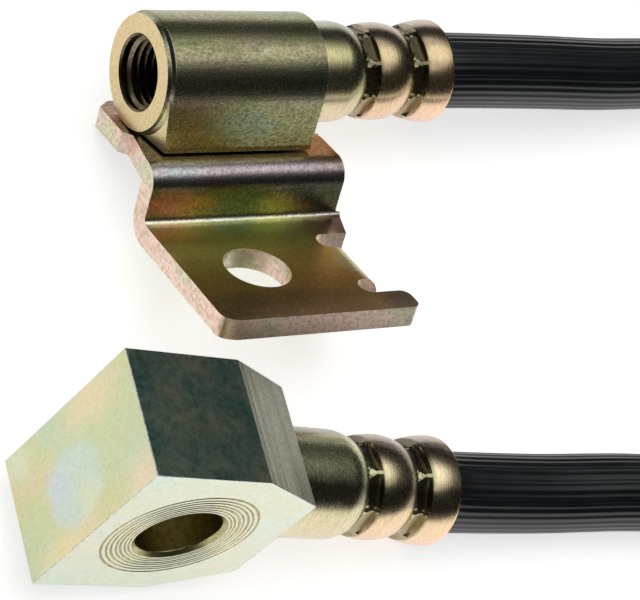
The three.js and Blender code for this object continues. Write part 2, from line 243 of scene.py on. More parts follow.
def addRamp(tree, factor, stops, ease="LINEAR"):
    node = addNode(tree, "ShaderNodeValToRGB", {"Fac": factor})
    node.color_ramp.interpolation = ease
    elements = node.color_ramp.elements
    while len(elements) < len(stops):
        elements.new(0.5)
    for element, (position, colour) in zip(elements, stops):
        element.position = position
        element.color = (*colour, 1)
    return node.outputs["Color"]


def grey(value):
    return (value, value, value)


def addMix(tree, kind, factor, below, above):
    node = addNode(tree, "ShaderNodeMix", data_type="RGBA", blend_type=kind)
    for key, value in ((0, factor), (6, below), (7, above)):
        if isinstance(value, bpy.types.NodeSocket):
            tree.links.new(value, node.inputs[key])
        else:
            node.inputs[key].default_value = value if key == 0 else (*value, 1)
    return node.outputs[2]


def addNoise(tree, coordinate, scale, stretch, detail, roughness, shift=(0, 0, 0)):
    mapping = addNode(tree, "ShaderNodeMapping", {"Vector": coordinate, "Scale": stretch, "Location": shift})
    return addNode(tree, "ShaderNodeTexNoise", {
        "Vector": mapping.outputs[0], "Scale": scale, "Detail": detail, "Roughness": roughness})


def addBand(tree, own, band, colour):  # tones laid across a piece along one direction
    height = addNode(tree, "ShaderNodeVectorMath", {0: own, 1: band["along"]}, operation="DOT_PRODUCT")
    reach = addNode(tree, "ShaderNodeMapRange", {
        "Value": height.outputs["Value"], "From Min": band["from"] * mm, "From Max": band["to"] * mm})
    waver = addNoise(tree, own, patina["bandScale"], (1, 1, 1), 3, 0.6, (0.3, 0.1, 0.2))
    centred = addNode(tree, "ShaderNodeMath", {0: waver.outputs["Fac"], 1: 0.5}, operation="SUBTRACT")
    share = addNode(tree, "ShaderNodeMath", {
        0: centred.outputs[0], 1: band["waver"], 2: reach.outputs[0]}, operation="MULTIPLY_ADD")
    shade = addRamp(tree, share.outputs[0], band["stops"], "EASE")
    return addMix(tree, band.get("kind", "MIX"), band.get("share", 1.0), colour, shade)


def addSpot(tree, wavy, spot, colour):  # one soft patch of another tone
    mapping = addNode(tree, "ShaderNodeMapping", {
        "Vector": wavy, "Location": Vector(spot["at"]) * mm, "Scale": Vector(spot["size"]) * mm},
        vector_type="TEXTURE")
    ball = addNode(tree, "ShaderNodeTexGradient", {"Vector": mapping.outputs[0]}, gradient_type="SPHERICAL")
    fade = [(0.0, grey(0)), (spot.get("edge", 0.5), grey(spot["share"]))]
    reach = addRamp(tree, ball.outputs["Fac"], fade, "EASE")
    return addMix(tree, "MIX", reach, colour, spot["tint"])


def plating(name, end, look):
    material = bpy.data.materials.new(name)
    material.use_nodes = True
    tree = material.node_tree
    shader = tree.nodes["Principled BSDF"]
    position = addNode(tree, "ShaderNodeTexCoord").outputs["Object"]
    own = addNode(tree, "ShaderNodeMapping", {
        "Vector": position, "Location": Vector(end["place"]) * mm, "Rotation": turnOf(end)},
        vector_type="TEXTURE").outputs[0]
    stir = addNoise(tree, own, patina["stirScale"], (1, 1, 1), 2, 0.5, (0.1, 0.4, 0.7))
    drift = addNode(tree, "ShaderNodeVectorMath", {0: stir.outputs["Color"], 1: grey(0.5)},
                    operation="SUBTRACT")
    wavy = addNode(tree, "ShaderNodeVectorMath", {
        0: drift.outputs[0], 1: grey(patina["stirReach"] * mm), 2: own}, operation="MULTIPLY_ADD").outputs[0]
    hue = addNoise(tree, own, look["hueScale"], look.get("hueStretch", (1, 1, 1)), 2.5, 0.6)
    colour = addRamp(tree, hue.outputs["Fac"], look["tones"])
    for band in look.get("bands", []):
        colour = addBand(tree, own, band, colour)
    for spot in look.get("spots", []):
        colour = addSpot(tree, wavy, spot, colour)
    stretch = look.get("grainStretch", (1, 1, 1))
    grain = addNoise(tree, own, look["grainScale"], stretch, 4, 0.65).outputs["Fac"]
    low, high = patina["darkGrain"]
    dark = addRamp(tree, grain, [(low, grey(1)), (high, grey(0))])
    colour = addMix(tree, "MULTIPLY", dark, colour, look["grainTint"])
    low, high = patina["paleGrain"]
    pale = addRamp(tree, grain, [(low, grey(0)), (high, grey(look["glint"]))])
    colour = addMix(tree, "MIX", pale, colour, look.get("glintTint", patina["paleTint"]))
    lines = addNoise(tree, own, 1.0, look["lineStretch"], 3, 0.7).outputs["Fac"]
    low, high = patina["noiseRange"]
    marks = addRamp(tree, lines, [(low, grey(1 - look["lineDepth"])), (high, grey(1))])
    colour = addMix(tree, "MULTIPLY", 1.0, colour, marks)
    rough = addNode(tree, "ShaderNodeMapRange", {
        "Value": grain, "From Min": low, "From Max": high,
        "To Min": look["roughness"] + patina["rougher"], "To Max": look["roughness"] - patina["smoother"]})
    relief = addNode(tree, "ShaderNodeMath", {0: lines, 1: look["lineRelief"], 2: grain},
                     operation="MULTIPLY_ADD")
    bump = addNode(tree, "ShaderNodeBump", {
        "Strength": look["bump"], "Distance": patina["reliefDepth"] * mm, "Height": relief.outputs[0]})
    tree.links.new(colour, shader.inputs["Base Color"])
    tree.links.new(rough.outputs[0], shader.inputs["Roughness"])
    tree.links.new(bump.outputs[0], shader.inputs["Normal"])
    shader.inputs["Metallic"].default_value = 1.0
    return material


def coat(piece, end, finishes):  # one material for each finish, in slot order
    for name, look in finishes:
        piece.data.materials.append(plating(name, end, look))


# The hose lies in one loop past the edge of the view, and both its ends go into ferrules
hose = {
    "diameter": 10.3,
    "ribs": 32,
    "ribSteps": 4,
    "ribDepth": 0.14,
    "tuck": 1.2,
    "lead": 4.0,
    "spanSteps": 7,
    "route": [
        (54.05, 28.1, 9.7), (70.45, 28.1, 8.3), (86.75, 29.5, 6.8), (102.15, 35.0, 5.7),
        (118.25, 36.6, 5.3), (134.05, 32.5, 5.2), (147.55, 23.4, 5.2), (157.05, 10.1, 5.2),
        (161.35, -5.5, 5.2), (160.15, -21.8, 5.2), (153.55, -36.6, 5.2), (142.15, -48.3, 5.2),
        (127.55, -55.4, 5.2), (111.35, -57.1, 5.2), (95.55, -53.1, 5.2), (82.05, -44.1, 5.2),
        (67.85, -36.1, 5.2), (51.85, -33.0, 5.2), (35.55, -31.1, 5.3),
    ],
}
rubberLook = {
    "cloudScale": 180,
    "tones": [(0.3, (0.0035, 0.005, 0.006)), (0.7, (0.007, 0.009, 0.011))],
    "shiny": 0.26,
    "dull": 0.38,
    "grainScale": 4200,
    "bump": 0.1,
}
ferruleForm = {
    "radius": 6.65, "groove": 5.6, "fall": 3.4, "bulge": 6.5, "lip": 6.9, "rim": 6.72, "rimEdge": 0.3,
    "rimRound": (0.1, 0.03),
    "startEdge": [(0.0, -0.4), (0.12, -0.12), (0.4, 0.0)],  # distance along and rise, in mm
    "fallSteps": 12, "fallPower": 2.2, "soften": 0.1,
    "riseSteps": [0, 0.3, 0.6, 0.9, 1.2, 1.45], "riseStep": 0.3, "wallEdge": 0.12,
    "flat": 5.5, "dieLength": 1.75, "dies": 8, "dieHalf": 20.0, "dieSteps": 22,
    "pressBefore": 0.05, "pressShort": 0.08, "pressAbove": 4.7,
    "bore": 5.45, "innerBore": 4.55, "taper": 2.6, "endWall": 1.8, "socket": 2.4,
}


def groovesOf(end):
    first = end["start"] + end["barrel"]
    return first, first + end["bulgePeak"] + ferruleForm["fall"]


def rimOf(end):
    return groovesOf(end)[1] + end["lipPeak"] + ferruleForm["rimEdge"]


def smoothRoute(points, steps):  # centripetal Catmull-Rom line through the points
    ends = [2 * points[0] - points[1], *points, 2 * points[-1] - points[-2]]
    line = []
    for a, b, c, d in zip(ends, ends[1:], ends[2:], ends[3:]):
        k = [0.0]
        for p, q in ((a, b), (b, c), (c, d)):
            k.append(k[-1] + (q - p).length ** 0.5)
        for i in range(steps):
            t = k[1] + (k[2] - k[1]) * i / steps
            ab = a.lerp(b, (t - k[0]) / (k[1] - k[0]))
            bc = b.lerp(c, (t - k[1]) / (k[2] - k[1]))
            cd = c.lerp(d, (t - k[2]) / (k[3] - k[2]))
            abc = ab.lerp(bc, (t - k[0]) / (k[2] - k[0]))
            bcd = bc.lerp(cd, (t - k[1]) / (k[3] - k[1]))
            line.append(abc.lerp(bcd, (t - k[1]) / (k[2] - k[1])))
    return [*line, points[-1]]


def rubber():
    material = bpy.data.materials.new("ribbedRubber")
    material.use_nodes = True
    tree = material.node_tree
    shader = tree.nodes["Principled BSDF"]
    spot = addNode(tree, "ShaderNodeTexCoord").outputs["Object"]
    cloud = addNoise(tree, spot, rubberLook["cloudScale"], (1, 1, 1), 4, 0.6).outputs["Fac"]
    grain = addNoise(tree, spot, rubberLook["grainScale"], (1, 1, 1), 2, 0.5).outputs["Fac"]
    colour = addRamp(tree, cloud, rubberLook["tones"])
    rough = addNode(tree, "ShaderNodeMapRange", {
        "Value": cloud, "To Min": rubberLook["shiny"], "To Max": rubberLook["dull"]})
    bump = addNode(tree, "ShaderNodeBump", {
        "Strength": rubberLook["bump"], "Distance": patina["reliefDepth"] * mm, "Height": grain})
    tree.links.new(colour, shader.inputs["Base Color"])
    tree.links.new(rough.outputs[0], shader.inputs["Roughness"])
    tree.links.new(bump.outputs[0], shader.inputs["Normal"])
    return material


def hoseSection():  # a circle with a furrow between each rib and the next
    sides = hose["ribs"] * hose["ribSteps"]
    bpy.ops.object.select_all(action="DESELECT")
    bpy.ops.mesh.primitive_circle_add(vertices=sides, radius=hose["diameter"] / 2 * mm)
    section = bpy.context.object
    bpy.ops.object.mode_set(mode="EDIT")
    step = 2 * math.pi / hose["ribs"]
    pick(section, "verts", lambda v: abs(math.remainder(math.atan2(v.co.y, v.co.x), step)) < step / 8)
    shrink = 1 - hose["ribDepth"] / (hose["diameter"] / 2)
    bpy.ops.transform.resize(value=(shrink, shrink, 1), center_override=(0, 0, 0))
    bpy.ops.object.mode_set(mode="OBJECT")
    bpy.ops.object.convert(target="CURVE")
    return bpy.context.object


def makeHose():
    tuck, lead = hose["tuck"], hose["lead"]
    leaving = [onAxis(inletEnd, rimOf(inletEnd) - tuck), onAxis(inletEnd, rimOf(inletEnd) + lead)]
    arriving = [onAxis(blockEnd, rimOf(blockEnd) + lead), onAxis(blockEnd, rimOf(blockEnd) - tuck)]
    route = [Vector(point) * mm for point in hose["route"]]
    line = smoothRoute([*leaving, *route, *arriving], hose["spanSteps"])
    section = hoseSection()
    data = bpy.data.curves.new("hoseLine", "CURVE")
    data.dimensions = "3D"
    spline = data.splines.new("POLY")
    spline.points.add(len(line) - 1)
    for point, spot in zip(spline.points, line):
        point.co = (*spot, 1)
    data.bevel_mode = "OBJECT"
    data.bevel_object = section
    data.use_fill_caps = True
    piece = bpy.data.objects.new("brakeHose", data)
    bpy.context.scene.collection.objects.link(piece)
    activate(piece)
    bpy.ops.object.convert(target="MESH")
    piece = bpy.context.object
    bpy.ops.object.mode_set(mode="EDIT")
    closeTurned()
    bpy.data.objects.remove(section)
    piece.data.materials.clear()
    piece.data.materials.append(rubber())
    smooth(piece, 60)
    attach(piece, "root")
    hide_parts("brake_hose")


makeHose()

# Ferrules: one eighth is turned, its two die pockets are pressed flat, and it is copied round
ferruleLook = {
    "hueScale": 95,
    "tones": [(0.3, (0.5, 0.46, 0.24)), (0.5, (0.58, 0.5, 0.3)), (0.7, (0.6, 0.48, 0.34))],
    "grainScale": 3000, "grainStretch": (1.6, 0.5, 0.5), "grainTint": (0.88, 0.86, 0.8), "glint": 0.08,
    "lineStretch": (4200, 260, 260), "lineDepth": 0.22, "lineRelief": 2.2, "roughness": 0.25, "bump": 0.2,
}
# across each ferrule, from its shaded to its lit side along "up": painted shade and painted highlight
paintedLightBand = {"from": -6.8, "to": 6.8, "waver": 0.16, "share": 0.85}
pocketShadeAndSwellHighlight = {  # painted shade in the two rows of pockets, a pinker painted highlight on the swells between and after them
    "along": (1, 0, 0), "before": 2, "waver": 0.1, "kind": "MULTIPLY",
    "stops": [
        (0.0, (1, 1, 1)), (0.1, (0.9, 0.88, 0.84)), (0.14, (0.5, 0.48, 0.46)),
        (0.23, (0.55, 0.52, 0.5)), (0.27, (1.15, 0.98, 1.0)), (0.55, (1.2, 1.0, 1.04)),
        (0.62, (0.8, 0.74, 0.7)), (0.65, (0.5, 0.48, 0.46)), (0.73, (0.55, 0.52, 0.5)),
        (0.77, (1.2, 1.02, 1.05)), (1.0, (1.3, 1.05, 1.08))],
}
# painted highlight and shade on each ferrule: a painted highlight spot, and the tones of the band across it
inletPaintedLight = {
    "spots": [
        {"at": (26.5, -4.5, 5), "size": (5, 4, 3), "tint": (0.62, 0.56, 0.26), "share": 0.5, "edge": 1.0},
    ],
    "stops": [
        (0.0, (0.92, 0.73, 0.52)), (0.16, (0.84, 0.7, 0.44)), (0.3, (0.72, 0.66, 0.34)),
        (0.45, (0.46, 0.42, 0.25)), (0.66, (0.46, 0.45, 0.25)), (0.8, (0.42, 0.39, 0.27)),
        (1.0, (0.48, 0.48, 0.4))],
}
blockPaintedLight = {
    "spots": [
        {"at": (31, 0.6, 6.3), "size": (11, 4.2, 3.4), "tint": (1.0, 1.0, 0.6), "share": 0.95, "edge": 0.8},
    ],
    "stops": [
        (0.0, (0.92, 0.78, 0.56)), (0.16, (0.88, 0.78, 0.5)), (0.28, (0.9, 0.82, 0.5)),
        (0.38, (0.36, 0.33, 0.22)), (0.5, (0.24, 0.24, 0.16)), (0.58, (0.6, 0.62, 0.38)),
        (0.7, (0.62, 0.62, 0.4)), (0.82, (0.36, 0.35, 0.26)), (1.0, (0.4, 0.4, 0.34))],
}


def crimp(groove, fromCrest, toCrest, peak):  # outline down into a groove and up its far swell
    form = ferruleForm
    bottom = form["groove"]
    points = []
    for i in range(form["fallSteps"]):
        share = i / form["fallSteps"]
        drop = (fromCrest - bottom) * share ** form["fallPower"]
        points.append((groove - form["fall"] * (1 - share), fromCrest - drop))
    points.append((groove - form["soften"], bottom + form["soften"] / 2))
    wall = form["dieLength"]
    steps = [*form["riseSteps"], wall - form["wallEdge"], wall]
    while steps[-1] < peak - form["riseStep"]:
        steps.append(steps[-1] + form["riseStep"])
    for step in steps:
        points.append((groove + step, toCrest - (toCrest - bottom) * (1 - step / peak) ** 2))
    return points


def makeFerrule(name, end, paintedLight, node):
    form = ferruleForm
    first, second = groovesOf(end)
    rim = rimOf(end)
    start = end["start"]
    outer = [(start + along, form["radius"] + rise) for along, rise in form["startEdge"]]
    outer += crimp(first, form["radius"], form["bulge"], end["bulgePeak"])
    outer += crimp(second, form["bulge"], form["lip"], end["lipPeak"])
    back, drop = form["rimRound"]
    outer += [(second + end["lipPeak"], form["lip"]), (rim - back, form["lip"] - drop), (rim, form["rim"])]
    inner = [(rim, form["bore"]), (second + form["taper"], form["innerBore"]),
             (start + form["endWall"], form["innerBore"]), (start + form["endWall"], form["socket"]),
             (start, form["socket"])]
    pocket = 2 * math.pi / form["dies"]
    piece = drawProfile(name, [*outer, *inner, outer[0]], -pocket / 2)
    bpy.ops.mesh.spin(steps=form["dieSteps"], angle=pocket, center=(0, 0, 0), axis=(1, 0, 0))
    half = math.radians(form["dieHalf"])
    for groove in (first, second):
        low = (groove - form["pressBefore"]) * mm
        high = (groove + form["dieLength"] - form["pressShort"]) * mm
        pick(piece, "verts", lambda v: low < v.co.x < high and v.co.z > form["pressAbove"] * mm
             and abs(math.atan2(v.co.y, v.co.z)) < half)
        bpy.ops.transform.resize(value=(1, 1, 0), center_override=(0, 0, form["flat"] * mm))
    bpy.ops.mesh.select_all(action="SELECT")
    others = form["dies"] - 1
    bpy.ops.mesh.spin(steps=others, dupli=True, angle=pocket * others, center=(0, 0, 0), axis=(1, 0, 0))
    bpy.ops.object.mode_set(mode="OBJECT")
    piece.data.transform(Matrix.Rotation(math.radians(end["dieTurn"]) - pocket / 2, 4, "X"))
    bpy.ops.object.mode_set(mode="EDIT")
    closeTurned()
    bands = [{**paintedLightBand, "along": end["up"], "stops": paintedLight["stops"]},
             {**pocketShadeAndSwellHighlight, "from": first - pocketShadeAndSwellHighlight["before"], "to": rim}]
    coat(piece, end, [(name + "Plating", {**ferruleLook, "bands": bands, "spots": paintedLight["spots"]})])
    smooth(piece, 38)
    finishPiece(piece, end, "plated_ferrule", node)


makeFerrule("inletFerrule", inletEnd, inletPaintedLight, "inlet_ferrule")
makeFerrule("blockFerrule", blockEnd, blockPaintedLight, "block_ferrule")

# Inlet body with its threaded port
body = {
    "radius": 7.8, "bossRadius": 7.38, "bossHeight": 0.55, "chamfer": 0.42, "back": 23.45,
    "base": 7.2, "footFar": 1.5,
    "footCorner": [(0.55, -7.8, -0.5), (1.65, -7.8, -7.2), (0.55, 0, -7.2)],  # cut through these points
    "edge": 0.15, "mouth": 4.95, "major": 4.7, "minor": 4.2, "depth": 12.4, "seatRadius": 3.25,
    "seatTip": 1.4, "seatHeight": 1.85,
}
thread = {
    "pitch": 1.058, "start": 0.75, "turns": 11, "steps": 48, "overlap": 0.09,
    "foot": 0.45, "crest": 0.07,  # half widths of the ridge, as shares of the pitch
}
bodyLook = {
    "hueScale": 130, "hueStretch": (0.5, 1, 1),
    "tones": [(0.3, (0.34, 0.35, 0.19)), (0.45, (0.4, 0.4, 0.21)), (0.58, (0.46, 0.4, 0.27)),
              (0.72, (0.32, 0.38, 0.26))],
    "bands": [
        # painted highlight and shade in bands across the body along "up", brightest at the foot
        {"along": inletEnd["up"], "from": -10.3, "to": 7.8, "waver": 0.06, "kind": "MULTIPLY", "stops": [
            (0.0, (2.3, 2.0, 1.1)), (0.05, (2.0, 1.8, 1.2)), (0.2, (1.6, 1.6, 1.5)),
            (0.38, (1.1, 1.12, 1.1)), (0.486, (0.85, 0.87, 0.85)), (0.6, (0.72, 0.72, 0.7)),
            (0.7, (0.68, 0.68, 0.66)), (0.8, (1, 1, 1)), (0.873, (1.4, 1.42, 1.4)),
            (0.95, (0.95, 0.95, 0.93)), (1.0, (0.85, 0.85, 0.85))]},
    ],
    "spots": [
        {"at": (5, -7.8, 0.5), "size": (5, 4, 3), "tint": (0.52, 0.4, 0.34), "share": 0.6},
        {"at": (12, -7.8, -4), "size": (7, 4, 3), "tint": (0.42, 0.56, 0.42), "share": 0.5},
        {"at": (4.5, -7.8, -4), "size": (4, 4, 3), "tint": (0.66, 0.54, 0.4), "share": 0.5},
        {"at": (20, -7.8, -3.5), "size": (4, 4, 4), "tint": (0.56, 0.54, 0.28), "share": 0.5},
        {"at": (17, -5.5, 5), "size": (8, 3, 2), "tint": (0.5, 0.46, 0.26), "share": 0.5},
    ],
    "grainScale": 2600, "grainStretch": (0.7, 1, 1), "grainTint": (0.62, 0.63, 0.55), "glint": 0.25,
    "lineStretch": (190, 3000, 3000), "lineDepth": 0.25, "lineRelief": 0.7, "roughness": 0.27, "bump": 0.42,
}
faceLook = {
    "hueScale": 130,
    "tones": [(0.3, (0.7, 0.56, 0.28)), (0.5, (0.73, 0.6, 0.33)), (0.62, (0.73, 0.55, 0.32)),
              (0.75, (0.67, 0.62, 0.35))],
    "grainScale": 2200, "grainTint": (0.85, 0.8, 0.7), "glint": 0.12,
    "lineStretch": (400, 700, 700), "lineDepth": 0.06, "lineRelief": 0.4, "roughness": 0.34, "bump": 0.12,
}
# the bevelled edges are paler and bluish: worn plating, and a painted highlight
edgeWearAndShineLook = {
    "hueScale": 300,
    "tones": [(0.3, (0.6, 0.62, 0.68)), (0.5, (0.72, 0.76, 0.9)), (0.7, (0.84, 0.76, 0.62))],
    "grainScale": 2400, "grainTint": (0.4, 0.42, 0.5), "glint": 0.5, "glintTint": (0.9, 0.94, 1.0),
    "lineStretch": (1100, 1100, 1100), "lineDepth": 0.4, "lineRelief": 1.0, "roughness": 0.26, "bump": 0.4,
}
# the port's walls and thread are painted dark, darkest deepest in: painted shade
portShadeLook = {
    "hueScale": 260,
    "tones": [(0.3, (0.11, 0.08, 0.04)), (0.5, (0.19, 0.15, 0.09)), (0.7, (0.28, 0.24, 0.17))],
    "bands": [{"along": (1, 0, 0), "from": 0, "to": 5, "waver": 0.0, "kind": "MULTIPLY", "stops": [
        (0.0, (1.0, 0.9, 0.75)), (0.3, (1, 1, 1)), (1.0, (0.5, 0.48, 0.42))]}],
    "grainScale": 2500, "grainTint": (0.6, 0.55, 0.5), "glint": 0.2,
    "lineStretch": (900, 900, 900), "lineDepth": 0.2, "lineRelief": 0.6, "roughness": 0.3, "bump": 0.1,
}


def paint(piece, index, test):  # gives faces another of the piece's materials, by centre in mm and normal
    for face in piece.data.polygons:
        if test(face.center / mm, face.normal):
            face.material_index = index


def makeFoot():  # the square lower half of the body, with its front corner cut back
    bpy.ops.mesh.primitive_cube_add(size=1)
    foot = bpy.context.object
    near, far = -body["radius"], body["footFar"]
    front, back = body["bossHeight"], body["back"]
    foot.location = Vector(((front + back) / 2, (near + far) / 2, -body["base"] / 2)) * mm
    foot.scale = Vector((back - front, far - near, body["base"])) * mm
    bpy.ops.object.transform_apply(location=True, rotation=True, scale=True)
    high, inner, outer = [Vector(point) * mm for point in body["footCorner"]]
    bpy.ops.object.mode_set(mode="EDIT")
    bpy.ops.mesh.select_all(action="SELECT")
    bpy.ops.mesh.bisect(plane_co=high, plane_no=(outer - high).cross(inner - high).normalized(),
                        use_fill=True, clear_outer=True)
    bpy.ops.object.mode_set(mode="OBJECT")
    return foot


def makeBody():
    form = body
    front, back = form["bossHeight"], form["back"]
    piece = turned("inletBody", [
        (0, 0), (0, form["bossRadius"]), (front, form["bossRadius"]),
        (front + form["chamfer"], form["radius"]), (back, form["radius"]), (back, 0)])
    cut(piece, makeFoot(), "UNION")
    mergeFlats(piece, 0.06)  # the union leaves slivers along the barrel that would spoil the bevel
    piece.data.materials.clear()
    coat(piece, inletEnd, [("bodyPlating", bodyLook), ("bodyEdgeShine", edgeWearAndShineLook),
                           ("bossFacePlating", faceLook), ("portWallPaintedShade", portShadeLook)])
    paint(piece, 2, lambda c, n: n.x < -0.9 and c.x < 2)
    roundEdges(piece, form["edge"], 1)
    tip = form["depth"] - form["seatHeight"]
    bore = turned("portCutter", [
        (-1, 0), (-1, form["mouth"] + 1), (form["mouth"] - form["major"], form["major"]),
        (form["depth"], form["major"]), (form["depth"], form["seatRadius"]),
        (tip, form["seatTip"]), (tip, 0)])
    bore.data.materials.append(piece.data.materials[0])
    cut(piece, bore)
    # the port's walls get the painted shade
    paint(piece, 3, lambda c, n: math.hypot(c.y, c.z) < form["mouth"] and 0.01 < c.x < form["depth"] + 1)
    smooth(piece, flats=60)
    finishPiece(piece, inletEnd, "plated_body", "inlet_body")


def makeThread():
    rise = thread["pitch"]
    foot, crest = thread["foot"] * rise, thread["crest"] * rise
    wall = body["major"] + thread["overlap"]
    ridge = drawProfile("portThread", [
        (-foot, wall), (foot, wall), (crest, body["minor"]), (-crest, body["minor"]), (-foot, wall)])
    bpy.ops.transform.translate(value=(thread["start"] * mm, 0, 0))
    bpy.ops.mesh.edge_face_add()
    bpy.ops.object.mode_set(mode="OBJECT")
    screw = ridge.modifiers.new("helix", "SCREW")
    screw.axis = "X"
    screw.screw_offset = rise * mm
    screw.iterations = thread["turns"]
    screw.steps = screw.render_steps = thread["steps"]
    applyAll(ridge)
    bpy.ops.object.mode_set(mode="EDIT")
    closeTurned()
    coat(ridge, inletEnd, [("threadPaintedShade", portShadeLook)])
    smooth(ridge, 40)
    finishPiece(ridge, inletEnd, "plated_body")


makeBody()
makeThread()

# Bracket: stamped sheet with rounded, sheared edges
bracket = {
    "edge": 0.3, "edgeSteps": 4, "corner": 0.9, "cornerSteps": 5, "cornerX": 1, "cornerY": -32,
    "bolt": (9.2, -22.8, -16), "boltRadius": 4.4, "boltSides": 72, "boltDepth": 12,
    "webNear": -12.6, "webFar": -8.2, "flangeTop": -14.7,
    "stepX": 27.6, "stepZ": -14.5, "stepMove": -0.85,  # the step's right edge is drawn in
    "reliefX": (25.6, 26.8), "reliefY": -18, "reliefZ": -14.2, "reliefMove": 0.4,  # and the relief's out
}
flangeLook = {
    "hueScale": 100, "hueStretch": (0.45, 1, 1),
    "tones": [(0.3, (0.4, 0.3, 0.09)), (0.45, (0.46, 0.36, 0.1)), (0.58, (0.52, 0.34, 0.12)),
              (0.72, (0.38, 0.36, 0.12))],
    # along the flange from its front edge to the crease; the pale end at the crease is a painted highlight
    "bands": [{"along": (0, 1, 0), "from": -34, "to": -10, "waver": 0.16, "share": 0.8, "stops": [
        (0.0, (0.4, 0.24, 0.14)), (0.16, (0.44, 0.28, 0.13)), (0.34, (0.54, 0.35, 0.11)),
        (0.52, (0.56, 0.44, 0.11)), (0.72, (0.7, 0.7, 0.2)), (0.84, (0.7, 0.94, 0.46)),
        (0.93, (0.85, 1.0, 0.75)), (1.0, (0.95, 0.97, 0.85))]}],
    "spots": [
        {"at": (1, -14.5, -15), "size": (6, 4, 3), "tint": (0.72, 0.62, 0.16), "share": 0.6, "edge": 1.0},
        # the next two spots are painted shade on the flange by the web's right end
        {"at": (25, -14, -15), "size": (7, 4, 3), "tint": (0.42, 0.25, 0.22), "share": 0.9, "edge": 0.8},
        {"at": (27.8, -14.6, -15), "size": (4, 5, 3), "tint": (0.1, 0.06, 0.055), "share": 0.95,
         "edge": 0.7},
        {"at": (19, -22, -15), "size": (6, 6, 3), "tint": (0.74, 0.56, 0.18), "share": 0.5, "edge": 1.0},
        {"at": (24, -23, -15.5), "size": (3.5, 4, 4), "tint": (0.62, 0.66, 0.44), "share": 0.8},
        {"at": (8, -30, -15), "size": (12, 4, 3), "tint": (0.32, 0.2, 0.12), "share": 0.7, "edge": 1.0},
        {"at": (26, -31.5, -15), "size": (4, 4, 3), "tint": (0.26, 0.18, 0.12), "share": 0.85,
         "edge": 0.9},
    ],
    "grainScale": 2400, "grainTint": (0.78, 0.72, 0.6), "glint": 0.06, "glintTint": (0.7, 0.66, 0.5),
    "lineStretch": (220, 900, 900), "lineDepth": 0.08, "lineRelief": 0.4, "roughness": 0.3, "bump": 0.12,
}
webLook = {
    "hueScale": 90, "hueStretch": (0.5, 1, 1),
    "tones": [(0.3, (0.36, 0.32, 0.24)), (0.5, (0.42, 0.36, 0.32)), (0.7, (0.34, 0.36, 0.24))],
    # painted highlight on the crease and on the upper bend, with a painted dark band between
    "bands": [{"along": (0, 0, 1), "from": -14.9, "to": -7.5, "waver": 0.06, "share": 0.85, "stops": [
        (0.0, (0.9, 0.86, 0.72)), (0.05, (0.85, 0.8, 0.66)), (0.1, (0.26, 0.25, 0.1)),
        (0.25, (0.29, 0.27, 0.11)), (0.45, (0.26, 0.26, 0.12)), (0.66, (0.26, 0.25, 0.18)),
        (0.8, (0.44, 0.36, 0.38)), (0.93, (0.5, 0.42, 0.46)), (1.0, (0.36, 0.3, 0.26))]}],
    "spots": [
        {"at": (1.8, -11.6, -12.4), "size": (6, 3, 2.6), "tint": (0.95, 0.3, 0.3), "share": 0.9,
         "edge": 0.9},
        {"at": (6, -11.6, -12.7), "size": (6, 3, 2.4), "tint": (0.95, 0.5, 0.14), "share": 0.8,
         "edge": 1.0},
        {"at": (13, -11.6, -12.2), "size": (8, 3, 4), "tint": (0.22, 0.3, 0.14), "share": 0.8,
         "edge": 0.9},
        {"at": (18.5, -11.6, -13.4), "size": (6, 3, 2.2), "tint": (0.9, 0.76, 0.2), "share": 0.8,
         "edge": 1.0},
        {"at": (26, -6, -7.5), "size": (5.5, 5.6, 2.2), "tint": (0.56, 0.29, 0.12), "share": 0.9,
         "edge": 0.7},
        {"at": (-0.5, 2.5, -7.5), "size": (4, 5, 2.2), "tint": (0.5, 0.27, 0.16), "share": 0.85,
         "edge": 0.8},
        {"at": (3, -10.5, -8.4), "size": (6, 3, 3), "tint": (0.42, 0.52, 0.5), "share": 0.6, "edge": 1.0},
    ],
    "grainScale": 2300, "grainTint": (0.6, 0.56, 0.5), "glint": 0.2, "glintTint": (0.7, 0.7, 0.66),
    "lineStretch": (700, 1500, 1500), "lineDepth": 0.16, "lineRelief": 0.8, "roughness": 0.28, "bump": 0.5,
}
shearLook = {
    "hueScale": 150,
    "tones": [(0.3, (0.84, 0.64, 0.5)), (0.48, (0.95, 0.72, 0.62)), (0.6, (0.74, 0.74, 0.52)),
              (0.72, (0.92, 0.7, 0.64))],
    "grainScale": 1900, "grainTint": (0.72, 0.66, 0.55), "glint": 0.15,
    "lineStretch": (500, 500, 2600), "lineDepth": 0.16, "lineRelief": 1.0, "roughness": 0.4, "bump": 0.35,
}


